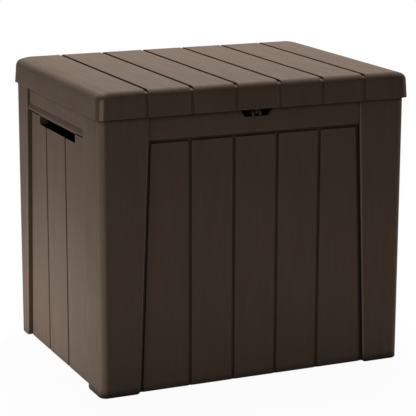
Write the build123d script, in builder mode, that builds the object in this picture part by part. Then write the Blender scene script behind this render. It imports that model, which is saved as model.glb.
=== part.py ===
from build123d import *
import os

os.makedirs("parts", exist_ok=True)

# Overall sizes in millimetres, origin on the ground under the middle of the lid
lid_width = 580.0
lid_depth = 439.0
overall_height = 522.5

# How far the body stands back from the lid's lower edge, and the planks' height above the ground
front_overhang = 7.5
rear_overhang = 2.0
side_overhang = 4.5
foot_height = 1.5

# Lid cover: a top that rolls off to its sides, a skirt that flares downwards, and planks cut by grooves
lid_skirt = 45.0
lid_flare = 2.5
lid_roll = 24.0
lid_roll_drop = 4.5
lid_roll_r = 50.0
lid_side_r = 13.5
lid_corner_r = 13.0
lid_wall = 3.0
lid_top_wall = 3.5
lid_plank_count = 7
lid_groove_width = 7.0
lid_groove_depth = 4.5
skirt_groove_depth = 2.0
groove_wall = 3.0
groove_bottom_r = 6.0
boss_r = 5.0
cover_boss_inset = 78.0

# Lid liner: the flat underside that rests on the wall tops
liner_drop = 20.0
liner_wall = 3.0
liner_gap = 1.0
liner_rib_depth = 8.0
liner_rib_wall = 3.0
liner_rib_inset = 14.0
liner_boss_r = 3.4
liner_boss_height = 5.0

# Planks of the front, back and lid, and of the sides
plank_pitch = 80.6
front_plank_count = 5
side_plank_pitch = 100.7
side_plank_count = 3
side_field_y = 23.2
plank_groove = 5.0
plank_draft = 12.0
border_groove = 5.5
plank_rib = 4.0

# Distances behind the corner posts' faces: rail, planks and the wall skin's outer face
front_rail_setback = 2.5
front_plank_setback = 5.0
front_base_setback = 8.0
side_rail_setback = 5.0
side_plank_setback = 8.0
side_base_setback = 11.0
back_rail_setback = 13.0
back_base_setback = 16.0
panel_wall = 3.0
rail_height = 41.0
rail_edge = 1.2

# Grip lip and hand slot of the sides
lip_height = 9.0
lip_bevel = 6.5
lip_reach = 3.0
lip_land = 0.4
slot_length = 186.0
slot_height = 16.0
slot_y = 15.0
slot_end_r = 3.0
slot_hood_wall = 3.0
slot_hood_depth = 9.0
slot_floor_drop = 5.0

# Corner posts: leg widths on the ground and at the lid's edge
wide_leg_foot = 71.0
wide_leg_top = 90.0
front_side_leg_foot = 64.0
front_side_leg_top = 77.0
rear_side_leg_foot = 38.5
rear_side_leg_top = 62.0
post_corner_r = 14.0
post_edge_r = 3.0
foot_end_r = 6.0
post_lap = 2.5
post_core = 24.0
post_neck = 8.0
post_hollow = 9.0
post_hollow_wall = 10.0
post_hollow_height = 400.0
leg_skin = 3.0
leg_hollow_inset = 16.0
leg_hollow_end = 10.0
flange_length = 24.0
flange_wall = 3.0

# Floor
ledge_height = 10.0
ledge_wall = 3.0
ledge_width = 10.0
floor_wall = 3.0
floor_rib_wall = 3.0
floor_rib_drop = 7.0
floor_rib_count_x = 6
floor_rib_count_y = 5

# Screws, all alike
screw_r = 1.9
screw_length = 11.0
screw_head_r = 3.5
screw_head_height = 2.4
screw_inset = 5.0
screw_low = 120.0
screw_high = 420.0

# Hinges
hinge_inset = 135.0
knuckle_r = 4.5
leaf_knuckle_length = 30.0
lug_length = 14.0
leaf_half_length = 46.0
leaf_screw_x = 38.0
leaf_wall = 5.0
pin_r = 2.25
pin_head_r = 3.6
pin_head = 2.0
pin_end = 1.0

# Lock: notch in the front rail, two fixed ears and the lid's hanging tab
notch_depth = 14.0
notch_bottom_width = 44.0
notch_top_width = 64.0
ear_wall = 4.0
ear_width = 12.0
ear_foot = 8.0
tab_wall = 5.0
tab_width = 22.0
tab_drop = 12.0
tab_end_r = 8.0
tab_flange = 4.0
tab_flange_half = 24.0
tab_screw_x = 16.0
padlock_r = 3.0

# Clearances
seat_gap = 0.2
edge_gap = 0.4
floor_gap = 0.5
screw_gap = 0.1
pin_seat_gap = 0.03
pin_run_gap = 0.05
knuckle_gap = 0.5
leaf_gap = 1.5
ear_gap = 2.0
tab_front_gap = 3.0
skirt_side_gap = 1.2

# Derived places
body_half_width = lid_width / 2 - side_overhang
front_y = front_overhang - lid_depth / 2
rear_y = lid_depth / 2 - rear_overhang
lid_edge_z = overall_height - lid_skirt
wall_top_z = overall_height - liner_drop
liner_top_z = wall_top_z + liner_wall
shoulder_z = lid_edge_z + post_lap
rail_bottom_z = lid_edge_z - rail_height
plank_top_z = rail_bottom_z - border_groove
floor_bottom_z = ledge_height + ledge_wall
floor_top_z = floor_bottom_z + floor_wall
flange_z = floor_top_z + floor_gap
notch_bottom_z = lid_edge_z - notch_depth
screw_heights = (screw_low, screw_high)
screw_place = post_core + screw_inset
screw_hole_r = screw_r + screw_gap
back_rail_y = rear_y - back_rail_setback
hinge_x = body_half_width - hinge_inset
hinge_y = back_rail_y + knuckle_gap + knuckle_r
hinge_z = wall_top_z - leaf_wall - leaf_gap - knuckle_r
rear_skirt_z = hinge_z + knuckle_r + knuckle_gap
inner_front_y = front_y + front_base_setback + panel_wall
inner_rear_y = rear_y - back_base_setback - panel_wall
inner_half_width = body_half_width - side_base_setback - panel_wall
plank_middle = (front_plank_count - 2) / 2
front_grooves = [(i - plank_middle) * plank_pitch for i in range(front_plank_count - 1)]
lid_middle = (lid_plank_count - 2) / 2
lid_grooves = [(i - lid_middle) * plank_pitch for i in range(lid_plank_count - 1)]
side_middle = (side_plank_count - 2) / 2
side_grooves = [(i - side_middle) * side_plank_pitch - side_field_y for i in range(side_plank_count - 1)]

# Outward-facing planes of the body, each with Z up the wall
front_face = Plane(origin=(0, front_y, 0), x_dir=(1, 0, 0), z_dir=(0, -1, 0))
back_face = Plane(origin=(0, rear_y, 0), x_dir=(-1, 0, 0), z_dir=(0, 1, 0))
left_face = Plane(origin=(-body_half_width, 0, 0), x_dir=(0, -1, 0), z_dir=(-1, 0, 0))


def leg_at(foot, top, z):
    return foot + (top - foot) * z / lid_edge_z


def wide_leg(z):
    return leg_at(wide_leg_foot, wide_leg_top, z)


def front_side_leg(z):
    return leg_at(front_side_leg_foot, front_side_leg_top, z)


def rear_side_leg(z):
    return leg_at(rear_side_leg_foot, rear_side_leg_top, z)


def screw_seat(base):
    return base + panel_wall + seat_gap + flange_wall


def rail_outline(wall, low, high):
    left, right, left_leg, right_leg = wall
    return [
        (left + left_leg(low) + edge_gap, low),
        (right - right_leg(low) - edge_gap, low),
        (right - right_leg(high) - edge_gap, high),
        (left + left_leg(high) + edge_gap, high),
    ]


def plank_outlines(wall, grooves, low, high, inset):
    left, right, left_leg, right_leg = wall
    outlines = []
    for i in range(len(grooves) + 1):
        corners = []
        for z in (low, high):
            start = left + left_leg(z) + border_groove + inset
            end = right - right_leg(z) - border_groove - inset
            if i > 0:
                start = grooves[i - 1] + plank_groove / 2 + inset
            if i < len(grooves):
                end = grooves[i] - plank_groove / 2 - inset
            corners.append((start, end))
        (low_start, low_end), (high_start, high_end) = corners
        outlines.append([(low_start, low), (low_end, low), (high_end, high), (high_start, high)])
    return outlines


# A wall skin with raised planks, hollow behind each plank, a ledge for the floor and screw holes
def planked_wall(face, wall, grooves, base, plank, hollow_top):
    left, right = wall[0], wall[1]
    inner = base + panel_wall
    skin_start = left + post_core + edge_gap
    skin_end = right - post_core - edge_gap
    ledge_end = post_core + flange_length + floor_gap
    with BuildPart() as planked:
        with BuildSketch(face.offset(-inner)):
            with Locations(((skin_start + skin_end) / 2, (foot_height + wall_top_z) / 2)):
                Rectangle(skin_end - skin_start, wall_top_z - foot_height)
        extrude(amount=panel_wall)
        with BuildSketch(face.offset(-base)):
            for outline in plank_outlines(wall, grooves, foot_height, plank_top_z, 0.0):
                Polygon(*outline, align=None)
        extrude(amount=base - plank, taper=plank_draft)
        with BuildSketch(face.offset(-inner)):
            for outline in plank_outlines(wall, grooves, floor_top_z + plank_rib, hollow_top, plank_rib):
                Polygon(*outline, align=None)
        extrude(amount=base - plank, mode=Mode.SUBTRACT)
        with BuildSketch(face.offset(-inner)):
            with Locations(((left + right) / 2, ledge_height + ledge_wall / 2)):
                Rectangle(right - left - 2 * ledge_end, ledge_wall)
        extrude(amount=-ledge_width)
        with BuildSketch(face.offset(-base)):
            with Locations(*[(x, z) for x in (left + screw_place, right - screw_place) for z in screw_heights]):
                Circle(screw_hole_r)
        extrude(amount=-panel_wall, mode=Mode.SUBTRACT)
    return planked.part


front_wall = (-body_half_width, body_half_width, wide_leg, wide_leg)
back_wall = (-body_half_width, body_half_width, wide_leg, wide_leg)
left_wall = (-rear_y, -front_y, rear_side_leg, front_side_leg)

# Front panel: rail with the lock notch and its two ears
front_planks = planked_wall(
    front_face, front_wall, front_grooves, front_base_setback, front_plank_setback, plank_top_z - plank_rib
)
ear_y = inner_front_y - ear_width / 2 + ear_wall
padlock_z = notch_bottom_z + ear_foot
with BuildPart() as front_panel:
    add(front_planks)
    with BuildSketch(front_face.offset(-front_base_setback)):
        Polygon(*rail_outline(front_wall, rail_bottom_z, wall_top_z), align=None)
    extrude(amount=front_base_setback - front_rail_setback)
    rail_face = front_panel.faces().filter_by(Axis.Y).sort_by(Axis.Y)[0]
    chamfer(rail_face.edges().filter_by(Axis.X).sort_by(Axis.Z)[0], rail_edge)
    with BuildSketch(front_face):
        Polygon(
            (-notch_bottom_width / 2, notch_bottom_z),
            (notch_bottom_width / 2, notch_bottom_z),
            (notch_top_width / 2, lid_edge_z),
            (notch_top_width / 2, wall_top_z),
            (-notch_top_width / 2, wall_top_z),
            (-notch_top_width / 2, lid_edge_z),
            align=None,
        )
    extrude(amount=-(front_base_setback + panel_wall), mode=Mode.SUBTRACT)
    for side in (-1, 1):
        ear_x = side * (tab_wall / 2 + ear_gap + ear_wall / 2) - ear_wall / 2
        with BuildSketch(Plane.YZ.offset(ear_x)):
            with Locations((ear_y, padlock_z - ear_foot)):
                Rectangle(ear_width, 2 * ear_foot)
            with Locations((ear_y, padlock_z)):
                Circle(ear_width / 2)
                Circle(padlock_r, mode=Mode.SUBTRACT)
        extrude(amount=ear_wall)
front_panel.part.label = "front_panel"
export_step(front_panel.part, "parts/front_panel.step")

# Back panel: rail flush with the planks, and two pairs of hinge lugs
back_planks = planked_wall(
    back_face, back_wall, front_grooves, back_base_setback, back_rail_setback, plank_top_z - plank_rib
)
lug_starts = [
    side * hinge_x + offset
    for side in (-1, 1)
    for offset in (-leaf_knuckle_length / 2 - knuckle_gap - lug_length, leaf_knuckle_length / 2 + knuckle_gap)
]
lug_planes = [Plane.YZ.offset(x) for x in lug_starts]
lug_root = back_base_setback - back_rail_setback
with BuildPart() as back_panel:
    add(back_planks)
    with BuildSketch(back_face.offset(-back_base_setback)):
        Polygon(*rail_outline(back_wall, rail_bottom_z, wall_top_z), align=None)
    extrude(amount=lug_root)
    with BuildSketch(*lug_planes):
        with Locations((hinge_y, hinge_z)):
            Circle(knuckle_r)
        with Locations(((hinge_y + back_rail_y - lug_root) / 2, hinge_z)):
            Rectangle(hinge_y - back_rail_y + lug_root, 2 * knuckle_r)
    extrude(amount=lug_length)
    with BuildSketch(*lug_planes):
        with Locations((hinge_y, hinge_z)):
            Circle(pin_r + pin_seat_gap)
    extrude(amount=lug_length, mode=Mode.SUBTRACT)
back_panel.part.label = "back_panel"
export_step(back_panel.part, "parts/back_panel.step")

# Side panels: rail with a grip lip above a hooded hand slot, whose floor drains inwards
slot_top_z = plank_top_z
slot_bottom_z = slot_top_z - slot_height
slot_middle = (-slot_y, slot_top_z - slot_height / 2)
hood_length = slot_length + 2 * slot_hood_wall
wall_back = side_base_setback + panel_wall
side_planks = planked_wall(
    left_face,
    left_wall,
    side_grooves,
    side_base_setback,
    side_plank_setback,
    slot_bottom_z - slot_floor_drop - plank_rib,
)
with BuildPart() as left_side_panel:
    add(side_planks)
    with BuildSketch(left_face.offset(-side_base_setback)):
        Polygon(*rail_outline(left_wall, rail_bottom_z, wall_top_z), align=None)
    extrude(amount=side_base_setback - side_rail_setback)
    with BuildSketch(left_face.offset(-side_rail_setback)):
        Polygon(*rail_outline(left_wall, rail_bottom_z, rail_bottom_z + lip_height), align=None)
    extrude(amount=lip_reach)
    lip_face = left_side_panel.faces().filter_by(Axis.X).sort_by(Axis.X)[0]
    chamfer(
        lip_face.edges().filter_by(Axis.Y).sort_by(Axis.Z)[-1],
        length=lip_bevel,
        length2=lip_reach - lip_land,
        reference=lip_face,
    )
    with BuildSketch(left_face.offset(-side_base_setback)):
        with Locations((-slot_y, (plank_top_z + rail_bottom_z) / 2)):
            Rectangle(hood_length, border_groove)
    extrude(amount=side_base_setback - side_plank_setback)
    with BuildSketch(left_face.offset(-wall_back)):
        with Locations((-slot_y, (slot_bottom_z + slot_top_z + slot_hood_wall) / 2)):
            Rectangle(hood_length, slot_height + slot_hood_wall)
    extrude(amount=-slot_hood_depth)
    with BuildSketch(left_face):
        with Locations(slot_middle):
            RectangleRounded(slot_length, slot_height, slot_end_r)
    extrude(amount=-wall_back - slot_hood_depth, mode=Mode.SUBTRACT)
    with BuildSketch(Plane.XZ.offset(-slot_y)):
        Polygon(
            (side_plank_setback - body_half_width, slot_bottom_z),
            (wall_back - body_half_width, slot_bottom_z - slot_floor_drop),
            (wall_back - body_half_width, slot_bottom_z),
            align=None,
        )
    extrude(amount=slot_length / 2 - slot_end_r, both=True, mode=Mode.SUBTRACT)
left_side_panel.part.label = "left_side_panel"
export_step(left_side_panel.part, "parts/left_side_panel.step")

with BuildPart() as right_side_panel:
    mirror(left_side_panel.part, about=Plane.YZ)
right_side_panel.part.label = "right_side_panel"
export_step(right_side_panel.part, "parts/right_side_panel.step")


# A corner post of the left side: two legs on the outer faces, a hollow core and flanges behind the walls
def corner_post(wide_face, wide_start, wide_turn, wide_base, side_start, side_turn, side_leg, inward):
    corner_x = -body_half_width
    corner_y = -side_start
    wide_wall = wide_base - seat_gap
    side_wall = side_base_setback - seat_gap
    half_z = shoulder_z / 2
    with BuildPart() as post:
        with BuildSketch(wide_face) as wide_sketch:
            Polygon(
                (wide_start, 0),
                (wide_start + wide_turn * wide_leg(0), 0),
                (wide_start + wide_turn * wide_leg(shoulder_z), shoulder_z),
                (wide_start, shoulder_z),
                align=None,
            )
            foot_corner = (wide_start + wide_turn * wide_leg(0), 0, 0)
            fillet(wide_sketch.vertices().sort_by_distance(foot_corner)[0], foot_end_r)
        extrude(amount=-wide_wall)
        with BuildSketch(left_face) as side_sketch:
            Polygon(
                (side_start, 0),
                (side_start + side_turn * side_leg(0), 0),
                (side_start + side_turn * side_leg(shoulder_z), shoulder_z),
                (side_start, shoulder_z),
                align=None,
            )
            foot_corner = (side_start + side_turn * side_leg(0), 0, 0)
            fillet(side_sketch.vertices().sort_by_distance(foot_corner)[0], foot_end_r)
        extrude(amount=-side_wall)
        with BuildSketch(Plane.XY):
            with Locations((corner_x + post_core / 2, corner_y + inward * post_core / 2)):
                Rectangle(post_core, post_core)
        extrude(amount=shoulder_z)
        post_edge = post.edges().filter_by(Axis.Z).sort_by_distance((corner_x, corner_y, half_z))[0]
        fillet(post_edge, post_corner_r)
        wide_end = wide_face.from_local_coords((wide_start + wide_turn * wide_leg(half_z), half_z, 0))
        side_end = left_face.from_local_coords((side_start + side_turn * side_leg(half_z), half_z, 0))
        ends = [post.edges().sort_by_distance(point)[0] for point in (wide_end, side_end)]
        fillet(ends, post_edge_r)
        with BuildSketch(Plane.XY.offset(shoulder_z)):
            neck_middle = (post_core + post_neck) / 2
            with Locations((corner_x + neck_middle, corner_y + inward * neck_middle)):
                Rectangle(post_core - post_neck, post_core - post_neck)
        extrude(amount=wall_top_z - shoulder_z)
        with BuildSketch(Plane.XY.offset(flange_z)):
            along = post_core + flange_length / 2
            behind_wide = wide_base + panel_wall + seat_gap + flange_wall / 2
            behind_side = side_base_setback + panel_wall + seat_gap + flange_wall / 2
            with Locations((corner_x + along, corner_y + inward * behind_wide)):
                Rectangle(flange_length, flange_wall)
            with Locations((corner_x + behind_side, corner_y + inward * along)):
                Rectangle(flange_wall, flange_length)
        extrude(amount=wall_top_z - flange_z)
        with BuildSketch(Plane.XY):
            hollow_middle = post_hollow_wall + post_hollow / 2
            with Locations((corner_x + hollow_middle, corner_y + inward * hollow_middle)):
                Rectangle(post_hollow, post_hollow)
        extrude(amount=post_hollow_height, mode=Mode.SUBTRACT)
        hollow_low = leg_hollow_end
        hollow_high = shoulder_z - leg_hollow_end
        hollow_start = wide_start + wide_turn * (post_core + leg_hollow_inset)
        with BuildSketch(wide_face.offset(-wide_wall)):
            Polygon(
                (hollow_start, hollow_low),
                (wide_start + wide_turn * (wide_leg(hollow_low) - leg_skin), hollow_low),
                (wide_start + wide_turn * (wide_leg(hollow_high) - leg_skin), hollow_high),
                (hollow_start, hollow_high),
                align=None,
            )
        extrude(amount=wide_wall - leg_skin, mode=Mode.SUBTRACT)
        for face, start, turn, base in (
            (wide_face, wide_start, wide_turn, wide_base),
            (left_face, side_start, side_turn, side_base_setback),
        ):
            with BuildSketch(face.offset(-screw_seat(base))):
                with Locations(*[(start + turn * screw_place, z) for z in screw_heights]):
                    Circle(screw_hole_r)
            extrude(amount=screw_length + edge_gap, mode=Mode.SUBTRACT)
    return post.part


front_post = corner_post(
    front_face, -body_half_width, 1, front_base_setback, -front_y, -1, front_side_leg, 1
)
rear_post = corner_post(
    back_face, body_half_width, -1, back_base_setback, -rear_y, 1, rear_side_leg, -1
)

with BuildPart() as front_left_post:
    add(front_post)
front_left_post.part.label = "front_left_post"
export_step(front_left_post.part, "parts/front_left_post.step")

with BuildPart() as front_right_post:
    mirror(front_post, about=Plane.YZ)
front_right_post.part.label = "front_right_post"
export_step(front_right_post.part, "parts/front_right_post.step")

with BuildPart() as rear_left_post:
    add(rear_post)
rear_left_post.part.label = "rear_left_post"
export_step(rear_left_post.part, "parts/rear_left_post.step")

with BuildPart() as rear_right_post:
    mirror(rear_post, about=Plane.YZ)
rear_right_post.part.label = "rear_right_post"
export_step(rear_right_post.part, "parts/rear_right_post.step")

# Screws that clamp each wall between a post's leg and its flange, driven from inside
left_screws = (
    (front_face, -body_half_width + screw_place, front_base_setback),
    (back_face, body_half_width - screw_place, back_base_setback),
    (left_face, -front_y - screw_place, side_base_setback),
    (left_face, -rear_y + screw_place, side_base_setback),
)
with BuildPart() as post_screws:
    for face, place, base in left_screws:
        seat = face.offset(-screw_seat(base))
        with BuildSketch(seat):
            with Locations(*[(place, z) for z in screw_heights]):
                Circle(screw_head_r)
        extrude(amount=-screw_head_height)
        with BuildSketch(seat):
            with Locations(*[(place, z) for z in screw_heights]):
                Circle(screw_r)
        extrude(amount=screw_length)
    mirror(about=Plane.YZ)
post_screws.part.label = "post_screws"
export_step(post_screws.part, "parts/post_screws.step")

# Floor: a plate on the walls' ledges, cut out around the posts, with ribs below
floor_half_width = inner_half_width - floor_gap
floor_front = inner_front_y + floor_gap
floor_rear = inner_rear_y - floor_gap
floor_depth = floor_rear - floor_front
floor_middle = (floor_front + floor_rear) / 2
rib_span_x = 2 * (floor_half_width - ledge_width - floor_gap)
rib_span_y = floor_depth - 2 * (ledge_width + floor_gap)
notch_size = 2 * (post_core + floor_gap)
post_corners = [(side * body_half_width, y) for side in (-1, 1) for y in (front_y, rear_y)]
with BuildPart() as floor_panel:
    with BuildSketch(Plane.XY.offset(floor_bottom_z)):
        with Locations((0, floor_middle)):
            Rectangle(2 * floor_half_width, floor_depth)
        with Locations(*post_corners):
            Rectangle(notch_size, notch_size, mode=Mode.SUBTRACT)
    extrude(amount=floor_wall)
    with BuildSketch(Plane.XY.offset(floor_bottom_z)):
        with Locations((0, floor_middle)):
            with GridLocations(0, rib_span_y / floor_rib_count_y, 1, floor_rib_count_y):
                Rectangle(rib_span_x, floor_rib_wall)
            with GridLocations(rib_span_x / floor_rib_count_x, 0, floor_rib_count_x, 1):
                Rectangle(floor_rib_wall, rib_span_y)
    extrude(amount=-floor_rib_drop)
floor_panel.part.label = "floor_panel"
export_step(floor_panel.part, "parts/floor_panel.step")


# Half the lid's depth at a height, and its outline seen from the side, moved in from top, front and rear
def lid_half_depth(z):
    return lid_depth / 2 - lid_flare * (z - lid_edge_z) / lid_skirt


def lid_side_outline(top_inset, front_inset, rear_inset, corner_r, low):
    high = overall_height - top_inset
    with BuildSketch(Plane.XY) as outline:
        Polygon(
            (front_inset - lid_half_depth(low), low),
            (lid_half_depth(low) - rear_inset, low),
            (lid_half_depth(high) - rear_inset, high),
            (front_inset - lid_half_depth(high), high),
            align=None,
        )
        fillet(outline.vertices().group_by(Axis.Y)[-1], corner_r)
    return outline.sketch


# The lid as one block, moved in from skirt and top, with rolled sides and round edges
def lid_block(inset, top_inset):
    half = lid_width / 2 - inset
    high = overall_height - top_inset
    side_x, side_z = half - lid_flare, high - lid_roll_drop
    roll_x = side_x - lid_roll
    with BuildSketch(Plane.XY) as across:
        Polygon(
            (-half, lid_edge_z),
            (half, lid_edge_z),
            (side_x, side_z),
            (roll_x, high),
            (-roll_x, high),
            (-side_x, side_z),
            align=None,
        )
        fillet(across.vertices().group_by(Axis.Y)[1], lid_side_r - inset)
        fillet(across.vertices().group_by(Axis.Y)[-1], lid_roll_r)
    with BuildPart() as block:
        with BuildSketch(Plane.XZ):
            add(across.sketch)
        extrude(amount=lid_depth, both=True)
        with BuildSketch(Plane.YZ):
            Polygon(
                (inset - lid_half_depth(lid_edge_z), lid_edge_z),
                (lid_half_depth(lid_edge_z) - inset, lid_edge_z),
                (lid_half_depth(overall_height) - inset, overall_height),
                (inset - lid_half_depth(overall_height), overall_height),
                align=None,
            )
        extrude(amount=lid_width, both=True, mode=Mode.INTERSECT)
        ends = [block.faces().sort_by(Axis.Y)[i] for i in (0, -1)]
        fillet([edge for face in ends for edge in face.edges().sort_by(Axis.Z)[1:]], lid_corner_r - inset)
    return block.part


# Lid cover: shell, ribs that back each groove, grooves over the top and down the skirt, bosses
below_lid_z = lid_edge_z - lid_skirt
hollow_r = lid_corner_r - lid_wall
rib_top = lid_groove_depth + groove_wall
rib_skirt = skirt_groove_depth + groove_wall
rib_width = lid_groove_width + 2 * groove_wall
rib_outer = lid_side_outline(lid_top_wall / 2, lid_wall / 2, lid_wall / 2, hollow_r, lid_edge_z)
rib_inner = lid_side_outline(rib_top, rib_skirt, 0, groove_bottom_r, lid_edge_z)
groove_inner = lid_side_outline(lid_groove_depth, skirt_groove_depth, 0, groove_bottom_r, below_lid_z)
rib_planes = [Plane.YZ.offset(x - rib_width / 2) for x in lid_grooves]
groove_planes = [Plane.YZ.offset(x - lid_groove_width / 2) for x in lid_grooves]
cover_boss_x = 2 * plank_pitch
cover_boss_y = lid_depth / 2 - cover_boss_inset
cover_bosses = [(x, y) for x in (-cover_boss_x, 0, cover_boss_x) for y in (-cover_boss_y, cover_boss_y)]
cut_half_width = body_half_width + skirt_side_gap
cut_front = lid_depth / 2 - lid_corner_r - lid_flare - lid_wall
with BuildPart() as lid_cover:
    add(lid_block(0, 0))
    add(lid_block(lid_wall, lid_top_wall), mode=Mode.SUBTRACT)
    with BuildSketch(*rib_planes):
        add(rib_outer)
        add(rib_inner, mode=Mode.SUBTRACT)
    extrude(amount=rib_width)
    with BuildSketch(*groove_planes):
        with Locations((0, lid_edge_z)):
            Rectangle(2 * lid_depth, 4 * lid_skirt)
        add(groove_inner, mode=Mode.SUBTRACT)
        with Locations((0, below_lid_z - lid_skirt)):
            Rectangle(2 * lid_depth, 2 * lid_skirt, mode=Mode.SUBTRACT)
    extrude(amount=lid_groove_width, mode=Mode.SUBTRACT)
    with BuildSketch(Plane.XY.offset(liner_top_z)):
        with Locations(*cover_bosses):
            Circle(boss_r)
    extrude(amount=overall_height - lid_top_wall / 2 - liner_top_z)
    with BuildSketch(Plane.XY.offset(liner_top_z)):
        with Locations(*cover_bosses):
            Circle(screw_hole_r)
    extrude(amount=screw_length - liner_wall + edge_gap, mode=Mode.SUBTRACT)
    with BuildSketch(Plane.XY.offset(rear_skirt_z)):
        with Locations((0, (cut_front + lid_depth) / 2)):
            Rectangle(2 * cut_half_width, lid_depth - cut_front)
    extrude(amount=-lid_skirt, mode=Mode.SUBTRACT)
lid_cover.part.label = "lid_cover"
export_step(lid_cover.part, "parts/lid_cover.step")

# Lid liner: a plate inside the skirt with stiffening ribs below and screw bosses above
liner_rise = lid_depth / 2 - lid_half_depth(liner_top_z)
liner_inset = lid_wall + liner_rise + liner_gap
liner_front = liner_inset + rib_skirt - lid_wall - lid_depth / 2
liner_rear = lid_depth / 2 - liner_inset
rim_width = 2 * (inner_half_width - liner_rib_inset)
rim_front = inner_front_y + liner_rib_inset + flange_wall
rim_rear = inner_rear_y - liner_rib_inset - flange_wall
rim_depth = rim_rear - rim_front
rim_middle = (rim_front + rim_rear) / 2
leaf_front = back_rail_y + leaf_gap
leaf_depth = liner_rear - leaf_front
leaf_y = leaf_front + leaf_depth / 2
tab_front = tab_front_gap + lid_wall + lid_flare - lid_depth / 2
tab_y = tab_front + tab_width / 2
leaf_screws = [(side * hinge_x + offset, leaf_y) for side in (-1, 1) for offset in (-leaf_screw_x, leaf_screw_x)]
tab_screws = [(-tab_screw_x, tab_y), (tab_screw_x, tab_y)]
with BuildPart() as lid_liner:
    with BuildSketch(Plane.XY.offset(wall_top_z)):
        with Locations((0, (liner_front + liner_rear) / 2)):
            RectangleRounded(lid_width - 2 * liner_inset, liner_rear - liner_front, hollow_r)
    extrude(amount=liner_wall)
    with BuildSketch(Plane.XY.offset(wall_top_z)):
        with Locations((0, rim_middle)):
            Rectangle(rim_width, rim_depth)
            Rectangle(rim_width - 2 * liner_rib_wall, rim_depth - 2 * liner_rib_wall, mode=Mode.SUBTRACT)
            with GridLocations(plank_pitch, 0, lid_plank_count - 1, 1):
                Rectangle(liner_rib_wall, rim_depth)
    extrude(amount=-liner_rib_depth)
    with BuildSketch(Plane.XY.offset(liner_top_z)):
        with Locations(*(leaf_screws + tab_screws)):
            Circle(liner_boss_r)
    extrude(amount=liner_boss_height)
    with BuildSketch(Plane.XY.offset(wall_top_z)):
        with Locations(*(cover_bosses + leaf_screws + tab_screws)):
            Circle(screw_hole_r)
    extrude(amount=liner_wall + liner_boss_height, mode=Mode.SUBTRACT)
lid_liner.part.label = "lid_liner"
export_step(lid_liner.part, "parts/lid_liner.step")


# Hinge leaf under the liner: a strip with one knuckle between the body's lugs
def hinge_leaf(middle):
    with BuildPart() as leaf:
        with BuildSketch(Plane.XY.offset(wall_top_z)):
            with Locations((middle, leaf_y)):
                Rectangle(2 * leaf_half_length, leaf_depth)
        extrude(amount=-leaf_wall)
        with BuildSketch(Plane.YZ.offset(middle - leaf_knuckle_length / 2)):
            with Locations((hinge_y, hinge_z)):
                Circle(knuckle_r)
            with Locations((leaf_y, (hinge_z + wall_top_z - leaf_wall) / 2)):
                Rectangle(leaf_depth, wall_top_z - leaf_wall - hinge_z)
            with Locations((hinge_y, hinge_z)):
                Circle(pin_r + pin_run_gap, mode=Mode.SUBTRACT)
        extrude(amount=leaf_knuckle_length)
        with BuildSketch(Plane.XY.offset(wall_top_z)):
            with Locations((middle - leaf_screw_x, leaf_y), (middle + leaf_screw_x, leaf_y)):
                Circle(screw_hole_r)
        extrude(amount=-leaf_wall, mode=Mode.SUBTRACT)
    return leaf.part


with BuildPart() as left_hinge_leaf:
    add(hinge_leaf(-hinge_x))
left_hinge_leaf.part.label = "left_hinge_leaf"
export_step(left_hinge_leaf.part, "parts/left_hinge_leaf.step")

with BuildPart() as right_hinge_leaf:
    add(hinge_leaf(hinge_x))
right_hinge_leaf.part.label = "right_hinge_leaf"
export_step(right_hinge_leaf.part, "parts/right_hinge_leaf.step")

# Hinge pins with a head at the outer end
pin_half = leaf_knuckle_length / 2 + knuckle_gap + lug_length
with BuildPart() as right_hinge_pin:
    with BuildSketch(Plane.YZ.offset(hinge_x - pin_half - pin_end)):
        with Locations((hinge_y, hinge_z)):
            Circle(pin_r)
    extrude(amount=2 * pin_half + pin_end)
    with BuildSketch(Plane.YZ.offset(hinge_x + pin_half)):
        with Locations((hinge_y, hinge_z)):
            Circle(pin_head_r)
    extrude(amount=pin_head)
right_hinge_pin.part.label = "right_hinge_pin"
export_step(right_hinge_pin.part, "parts/right_hinge_pin.step")

with BuildPart() as left_hinge_pin:
    mirror(right_hinge_pin.part, about=Plane.YZ)
left_hinge_pin.part.label = "left_hinge_pin"
export_step(left_hinge_pin.part, "parts/left_hinge_pin.step")

# Lock tab: an upright tongue under a flange on the liner, with the padlock hole through it
tab_bottom_z = lid_edge_z - tab_drop
with BuildPart() as lock_tab:
    with BuildSketch(Plane.XY.offset(wall_top_z)):
        with Locations((0, tab_y)):
            Rectangle(2 * tab_flange_half, tab_width)
    extrude(amount=-tab_flange)
    with BuildSketch(Plane.YZ.offset(-tab_wall / 2)) as tongue:
        with Locations((tab_y, (tab_bottom_z + wall_top_z) / 2)):
            Rectangle(tab_width, wall_top_z - tab_bottom_z)
        fillet(tongue.vertices().group_by(Axis.Y)[0], tab_end_r)
        with Locations((ear_y, padlock_z)):
            Circle(padlock_r, mode=Mode.SUBTRACT)
    extrude(amount=tab_wall)
    with BuildSketch(Plane.XY.offset(wall_top_z)):
        with Locations(*tab_screws):
            Circle(screw_hole_r)
    extrude(amount=-tab_flange, mode=Mode.SUBTRACT)
lock_tab.part.label = "lock_tab"
export_step(lock_tab.part, "parts/lock_tab.step")

# Lid screws, driven up through the liner, the hinge leaves and the lock tab
screw_groups = (
    (wall_top_z, cover_bosses),
    (wall_top_z - leaf_wall, leaf_screws),
    (wall_top_z - tab_flange, tab_screws),
)
with BuildPart() as lid_screws:
    for seat_z, places in screw_groups:
        with BuildSketch(Plane.XY.offset(seat_z)):
            with Locations(*places):
                Circle(screw_head_r)
        extrude(amount=-screw_head_height)
        with BuildSketch(Plane.XY.offset(seat_z)):
            with Locations(*places):
                Circle(screw_r)
        extrude(amount=screw_length)
lid_screws.part.label = "lid_screws"
export_step(lid_screws.part, "parts/lid_screws.step")
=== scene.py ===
import math

import bpy
from mathutils import Matrix, Vector

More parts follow.
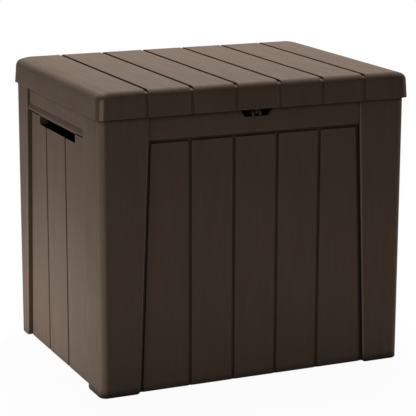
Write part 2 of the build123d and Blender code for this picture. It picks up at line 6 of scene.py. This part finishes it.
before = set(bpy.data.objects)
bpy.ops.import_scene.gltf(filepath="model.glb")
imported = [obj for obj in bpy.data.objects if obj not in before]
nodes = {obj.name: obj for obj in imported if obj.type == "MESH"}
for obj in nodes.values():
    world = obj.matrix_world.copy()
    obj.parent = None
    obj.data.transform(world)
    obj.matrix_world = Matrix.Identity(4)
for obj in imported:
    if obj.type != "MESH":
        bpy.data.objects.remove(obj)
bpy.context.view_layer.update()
scene = bpy.context.scene
scene.view_settings.view_transform = "Standard"
print("frame:", len(nodes), "pieces")


def linear(hexColour):  # sRGB hex to linear RGBA
    parts = [int(hexColour[i:i + 2], 16) / 255 for i in (1, 3, 5)]
    return [c / 12.92 if c <= 0.04045 else ((c + 0.055) / 1.055) ** 2.4 for c in parts] + [1.0]


def addNode(tree, kind, values=None, links=None, **settings):
    node = tree.nodes.new(kind)
    for name, value in settings.items():
        setattr(node, name, value)
    for socket, value in (values or {}).items():
        node.inputs[socket].default_value = value
    for socket, source in (links or {}).items():
        tree.links.new(source, node.inputs[socket])
    return node


def newMaterial(name):
    material = bpy.data.materials.new(name)
    material.use_nodes = True
    material.node_tree.nodes.clear()
    return material, material.node_tree


def dress(material, *names):
    for name in names:
        slots = nodes[name].data.materials
        slots.clear()
        slots.append(material)


# Camera at the photograph's viewpoint, turned 24 degrees to the left of the front and looking down
photoCamera = {
    "place": (-1.2441, -2.7979, 0.9939),
    "yaw": 24.042,
    "pitch": 13.51,
    "roll": 0.16,
    "lens": 149.89,
    "sensor": 36.0,
}
yaw, pitch, roll = (math.radians(photoCamera[k]) for k in ("yaw", "pitch", "roll"))
forward = Vector((math.sin(yaw) * math.cos(pitch), math.cos(yaw) * math.cos(pitch), -math.sin(pitch)))
level = Vector((math.cos(yaw), -math.sin(yaw), 0.0))
upright = level.cross(forward)
right = level * math.cos(roll) + upright * math.sin(roll)
up = upright * math.cos(roll) - level * math.sin(roll)
cameraData = bpy.data.cameras.new("photoCamera")
cameraData.lens = photoCamera["lens"]
cameraData.sensor_width = photoCamera["sensor"]
camera = bpy.data.objects.new("photoCamera", cameraData)
scene.collection.objects.link(camera)
turn = Matrix((right, up, -forward)).transposed().to_4x4()
camera.matrix_world = Matrix.Translation(photoCamera["place"]) @ turn
scene.camera = camera
print("camera: placed")


# Moulded polypropylene: a mould etched with wood grain leaves long shallow streaks and a matt sheen. Edges
# are painted paler, partly as rubbed wear and partly as a painted highlight; rounded corners carry a painted
# highlight, and grooves, steps and the rail under the lid carry painted shade. Real streaks are 1 to 2 mm
# wide, too fine to show here, so they are drawn 4 to 5 mm wide.
plankResin = {
    "colour": "#615145",
    "paleGrain": "#69594c",
    # paler colour for rubbed edges and for the painted highlights on edges and corners
    "rubbed": "#8c7b6b",
    "dusty": "#221a15",
    "ior": 1.49,
    "specular": 0.04,
    "roughLow": 0.52,
    "roughHigh": 0.66,
    "streak": (0.0045, 0.11),  # width and length, as for the broader flames
    "streakTwist": 0.35,
    "flame": (0.020, 0.15),
    "flameTwist": 1.4,
    "grainDetail": 4.0,
    "grainRoughness": 0.62,
    "grainDepth": 0.00012,
    "grainBump": 0.6,
    "plankSeed": 5.37,  # step from one plank's grain to the next
    "edgeRound": 0.0012,
    "edgeWidth": 0.003,
    "edgeFrom": (0.99, 0.75),  # how far the rounded normal agrees with the face's, from plain to rubbed wear with painted highlight
    "edgeRub": 0.22,
    # painted highlight on rounded vertical corners
    "cornerFrom": (0.10, 0.35),
    "cornerLean": 1.0,  # above 1 the painted highlight strip lies nearer to the front and the back
    "cornerRub": 0.65,
    # painted shade: dark colour laid into grooves, steps and under the lid
    "dustReach": 0.022,
    "dustFrom": (0.88, 0.64),  # share of open sky, from no painted shade to full painted shade
    "dust": 0.6,
    "railDust": 0.92,
}

# Planks: the axis they are counted along, their pitch, the middle of one, and the height where a rail starts
frontPlanks = {"across": "X", "pitch": 0.0806, "middle": 0.0, "railFrom": 0.4365}
sidePlanks = {"across": "Y", "pitch": 0.1007, "middle": 0.0232, "railFrom": 0.4365}
lidPlanks = {"across": "X", "pitch": 0.0806, "middle": 0.0, "railFrom": None}
onePlank = {"across": "X", "pitch": 1.0, "middle": 0.0, "railFrom": None}


def woodgrainResin(name, planks, **changes):
    look = plankResin | changes
    across, railFrom = planks["across"], planks["railFrom"]
    material, tree = newMaterial(name)
    place = addNode(tree, "ShaderNodeTexCoord")
    parts = addNode(tree, "ShaderNodeSeparateXYZ", links={0: place.outputs["Object"]})

    def grain(axis, seed, size, twist):
        scale = [1 / (size[0] if i == "XYZ".index(axis) else size[1]) for i in range(3)]
        mapped = addNode(tree, "ShaderNodeMapping", {"Scale": scale}, {"Vector": place.outputs["Object"]})
        return addNode(
            tree, "ShaderNodeTexNoise",
            {
                "Scale": 1.0, "Detail": look["grainDetail"], "Roughness": look["grainRoughness"],
                "Distortion": twist,
            },
            {"Vector": mapped.outputs[0], "W": seed}, noise_dimensions="4D",
        ).outputs["Fac"]

    # each plank has a grain of its own, and a rail's runs along the rail
    shifted = addNode(
        tree, "ShaderNodeMath", {1: planks["middle"]}, {0: parts.outputs[across]}, operation="SUBTRACT"
    )
    counted = addNode(
        tree, "ShaderNodeMath", {1: 1 / planks["pitch"], 2: 0.5}, {0: shifted.outputs[0]},
        operation="MULTIPLY_ADD",
    )
    plank = addNode(tree, "ShaderNodeMath", links={0: counted.outputs[0]}, operation="FLOOR")
    seeded = addNode(
        tree, "ShaderNodeMath", {1: look["plankSeed"]}, {0: plank.outputs[0]}, operation="MULTIPLY"
    )
    seed = seeded.outputs[0]
    streaks = grain(across, seed, look["streak"], look["streakTwist"])

    # painted shade: darker where little of the sky is open, in grooves and steps, and most of all along a
    # rail just under the lid, where the lid's shadow line falls
    hollow = addNode(tree, "ShaderNodeAmbientOcclusion", {"Distance": look["dustReach"]}, samples=8)
    dust = addNode(
        tree, "ShaderNodeMapRange",
        {"From Min": look["dustFrom"][0], "From Max": look["dustFrom"][1], "To Max": look["dust"]},
        {"Value": hollow.outputs["AO"]},
    )
    if railFrom is not None:
        above = addNode(
            tree, "ShaderNodeMath", {1: railFrom}, {0: parts.outputs["Z"]}, operation="GREATER_THAN"
        )
        along = grain("Z", above.outputs[0], look["streak"], look["streakTwist"])
        streaks = addNode(
            tree, "ShaderNodeMix", links={"Factor": above.outputs[0], 2: streaks, 3: along}, data_type="FLOAT"
        ).outputs[0]
        most = addNode(
            tree, "ShaderNodeMapRange", {"To Min": look["dust"], "To Max": look["railDust"]},
            {"Value": above.outputs[0]},
        )
        tree.links.new(most.outputs[0], dust.inputs["To Max"])

    flames = grain(across, seed, look["flame"], look["flameTwist"])
    both = addNode(tree, "ShaderNodeMath", links={0: streaks, 1: flames}, operation="ADD")
    tint = addNode(
        tree, "ShaderNodeMapRange", {"From Min": 0.65, "From Max": 1.35}, {"Value": both.outputs[0]}
    )
    colour = addNode(
        tree, "ShaderNodeMix", {6: linear(look["colour"]), 7: linear(look["paleGrain"])},
        {"Factor": tint.outputs[0]}, data_type="RGBA",
    )

    # an edge is where the rounded normal leaves the face's own; edges are painted paler, partly as rubbed
    # wear and partly as a painted highlight
    geometry = addNode(tree, "ShaderNodeNewGeometry")
    wide = addNode(tree, "ShaderNodeBevel", {"Radius": look["edgeWidth"]}, samples=6)
    leaning = addNode(
        tree, "ShaderNodeVectorMath", links={0: wide.outputs[0], 1: geometry.outputs["Normal"]},
        operation="DOT_PRODUCT",
    )
    edge = addNode(
        tree, "ShaderNodeMapRange",
        {"From Min": look["edgeFrom"][0], "From Max": look["edgeFrom"][1], "To Max": look["edgeRub"]},
        {"Value": leaning.outputs["Value"]},
    )
    # painted highlight: a rounded corner, facing two ways at once, is painted paler as a highlight
    facing = addNode(tree, "ShaderNodeSeparateXYZ", links={0: place.outputs["Normal"]})
    ahead = addNode(tree, "ShaderNodeMath", links={0: facing.outputs["Y"]}, operation="ABSOLUTE")
    leant = addNode(
        tree, "ShaderNodeMath", {1: look["cornerLean"]}, {0: ahead.outputs[0]}, operation="POWER"
    )
    between = addNode(
        tree, "ShaderNodeMath", links={0: facing.outputs["X"], 1: leant.outputs[0]}, operation="MULTIPLY"
    )
    turned = addNode(tree, "ShaderNodeMath", links={0: between.outputs[0]}, operation="ABSOLUTE")
    corner = addNode(
        tree, "ShaderNodeMapRange",
        {"From Min": look["cornerFrom"][0], "From Max": look["cornerFrom"][1], "To Max": look["cornerRub"]},
        {"Value": turned.outputs[0]},
    )
    either = addNode(
        tree, "ShaderNodeMath", links={0: edge.outputs[0], 1: corner.outputs[0]}, operation="MAXIMUM"
    )
    # rubbed wear and painted highlight share one paler colour
    worn = addNode(
        tree, "ShaderNodeMix", {7: linear(look["rubbed"])},
        {"Factor": either.outputs[0], 6: colour.outputs[2]}, data_type="RGBA",
    )
    # the painted shade darkens the colour where little sky is open
    settled = addNode(
        tree, "ShaderNodeMix", {7: linear(look["dusty"])}, {"Factor": dust.outputs[0], 6: worn.outputs[2]},
        data_type="RGBA",
    )

    rough = addNode(
        tree, "ShaderNodeMapRange",
        {"From Min": 0.3, "From Max": 0.7, "To Min": look["roughHigh"], "To Max": look["roughLow"]},
        {"Value": streaks},
    )
    rounded = addNode(tree, "ShaderNodeBevel", {"Radius": look["edgeRound"]}, samples=6)
    bump = addNode(
        tree, "ShaderNodeBump", {"Strength": look["grainBump"], "Distance": look["grainDepth"]},
        {"Height": streaks, "Normal": rounded.outputs[0]},
    )
    shader = addNode(
        tree, "ShaderNodeBsdfPrincipled", {"IOR": look["ior"], "Specular IOR Level": look["specular"]},
        {"Base Color": settled.outputs[2], "Roughness": rough.outputs[0], "Normal": bump.outputs[0]},
    )
    addNode(tree, "ShaderNodeOutputMaterial", links={"Surface": shader.outputs[0]})
    return material


# these copies differ mainly in how much painted shade each carries
frontResin = woodgrainResin("moulded polypropylene front", frontPlanks)
sideResin = woodgrainResin("moulded polypropylene side", sidePlanks, dust=0.2, railDust=0.5)
# the lid's rounded vertical corners carry a strong, narrow painted highlight, leaning towards the front and
# back faces
lidResin = woodgrainResin(
    "moulded polypropylene lid", lidPlanks,
    dust=0.1, rubbed="#a08c79", cornerRub=0.95, cornerFrom=(0.10, 0.18), cornerLean=6.0,
)
postResin = woodgrainResin("moulded polypropylene post", onePlank, dust=0.9)
rearPostResin = woodgrainResin("moulded polypropylene rear post", onePlank, dust=0.3)
# the lock tab is drawn in a darker resin colour than the walls
tabResin = woodgrainResin("moulded polypropylene tab", onePlank, colour="#3b312a", paleGrain="#42372f")
dress(frontResin, "front_panel", "back_panel")
dress(sideResin, "left_side_panel", "right_side_panel")
dress(lidResin, "lid_cover")
dress(postResin, "front_left_post", "front_right_post")
dress(rearPostResin, "rear_left_post", "rear_right_post")
dress(postResin, "floor_panel", "lid_liner", "left_hinge_leaf", "right_hinge_leaf")
dress(tabResin, "lock_tab")
print("resin: walls, posts and lid")

# Stainless steel, drawn and cold headed: plain grey, with a fine mottle in its sheen
stainlessSteel = {
    "colour": "#b9bcbf",
    "dull": "#8f9296",
    "roughLow": 0.28,
    "roughHigh": 0.42,
    "mottleWidth": 0.0006,
}
steel, tree = newMaterial("drawn stainless steel")
place = addNode(tree, "ShaderNodeTexCoord")
mottle = addNode(
    tree, "ShaderNodeTexNoise", {"Scale": 1 / stainlessSteel["mottleWidth"], "Detail": 2.0},
    {"Vector": place.outputs["Object"]},
)
colour = addNode(
    tree, "ShaderNodeMix", {6: linear(stainlessSteel["dull"]), 7: linear(stainlessSteel["colour"])},
    {"Factor": mottle.outputs["Fac"]}, data_type="RGBA",
)
rough = addNode(
    tree, "ShaderNodeMapRange",
    {"To Min": stainlessSteel["roughHigh"], "To Max": stainlessSteel["roughLow"]},
    {"Value": mottle.outputs["Fac"]},
)
shader = addNode(
    tree, "ShaderNodeBsdfPrincipled", {"Metallic": 1.0},
    {"Base Color": colour.outputs[2], "Roughness": rough.outputs[0]},
)
addNode(tree, "ShaderNodeOutputMaterial", links={"Surface": shader.outputs[0]})
dress(steel, "post_screws", "lid_screws", "left_hinge_pin", "right_hinge_pin")
print("steel: screws and pins")


# Floor and world: white where the camera looks, with the box's own shadow left on the floor
studio = {
    "floorSize": 40.0,
    "floorColour": "#f6f5f3",
    "bounceColour": "#b4b1ad",
    "lift": 0.96,  # share of plain white close to the box
    "whiteFrom": (0.36, 0.9),  # distances between which that grows to 1
    "sky": 0.01,
}


def seenDirectly(tree):
    path = addNode(tree, "ShaderNodeLightPath")
    either = addNode(
        tree, "ShaderNodeMath", links={0: path.outputs["Is Camera Ray"], 1: path.outputs["Is Glossy Ray"]},
        operation="MAXIMUM",
    )
    return addNode(
        tree, "ShaderNodeMath", links={0: either.outputs[0], 1: path.outputs["Is Transmission Ray"]},
        operation="MAXIMUM",
    ).outputs[0]


half = studio["floorSize"] / 2
floorMesh = bpy.data.meshes.new("floor")
floorCorners = [(-half, -half, 0), (half, -half, 0), (half, half, 0), (-half, half, 0)]
floorMesh.from_pydata(floorCorners, [], [(0, 1, 2, 3)])
floor = bpy.data.objects.new("floor", floorMesh)
scene.collection.objects.link(floor)
paper, tree = newMaterial("white paper sweep")
spot = addNode(tree, "ShaderNodeNewGeometry")
away = addNode(tree, "ShaderNodeVectorMath", links={0: spot.outputs["Position"]}, operation="LENGTH")
nearWhite, farWhite = studio["whiteFrom"]
lift = addNode(
    tree, "ShaderNodeMapRange",
    {"From Min": nearWhite, "From Max": farWhite, "To Min": studio["lift"], "To Max": 1.0},
    {"Value": away.outputs["Value"]}, interpolation_type="SMOOTHSTEP",
)
bounce = addNode(tree, "ShaderNodeBsdfDiffuse", {"Color": linear(studio["bounceColour"])})
plain = addNode(tree, "ShaderNodeBsdfDiffuse", {"Color": linear(studio["floorColour"])})
glow = addNode(tree, "ShaderNodeEmission", {"Strength": 1.0})
seen = addNode(
    tree, "ShaderNodeMixShader", links={0: lift.outputs[0], 1: plain.outputs[0], 2: glow.outputs[0]}
)
mixed = addNode(
    tree, "ShaderNodeMixShader", links={0: seenDirectly(tree), 1: bounce.outputs[0], 2: seen.outputs[0]}
)
addNode(tree, "ShaderNodeOutputMaterial", links={"Surface": mixed.outputs[0]})
floorMesh.materials.append(paper)

world = bpy.data.worlds.new("studio")
world.use_nodes = True
scene.world = world
tree = world.node_tree
tree.nodes.clear()
strength = addNode(
    tree, "ShaderNodeMapRange", {"To Min": studio["sky"], "To Max": 1.0}, {"Value": seenDirectly(tree)}
)
sky = addNode(tree, "ShaderNodeBackground", {"Color": (1, 1, 1, 1)}, {"Strength": strength.outputs[0]})
addNode(tree, "ShaderNodeOutputWorld", links={"Surface": sky.outputs[0]})

# Soft lamps: a large one above and behind, one at the front left corner, and two low strips in place of the
# light that comes off the floor, so the walls are palest at the foot
lamps = {
    "overhead": {"place": (0.4, 0.9, 2.6), "aim": (0, 0, 0.4), "size": (1.6, 1.6), "power": 83.5},
    "corner": {"place": (-1.5, -0.62, 0.75), "aim": (0, 0, 0.28), "size": (0.5, 0.5), "power": 3.6},
    "leftStrip": {
        "place": (-0.6, 0.25, 0.02), "aim": (-0.28, 0.25, 0.1), "size": (1.0, 0.06), "power": 2.1,
    },
    "frontStrip": {
        "place": (0.05, -0.75, 0.03), "aim": (0.05, -0.21, 0.1), "size": (1.0, 0.08), "power": 0.46,
    },
}
for name, lamp in lamps.items():
    lampData = bpy.data.lights.new(name, "AREA")
    lampData.shape = "ELLIPSE"
    lampData.size, lampData.size_y = lamp["size"]
    lampData.energy = lamp["power"]
    lampObject = bpy.data.objects.new(name, lampData)
    scene.collection.objects.link(lampObject)
    lampObject.visible_camera = False
    aim = Vector(lamp["aim"]) - Vector(lamp["place"])
    facingAim = aim.to_track_quat("-Z", "Y").to_matrix().to_4x4()
    lampObject.matrix_world = Matrix.Translation(lamp["place"]) @ facingAim
print("studio: floor, sky and", len(lamps), "lamps")
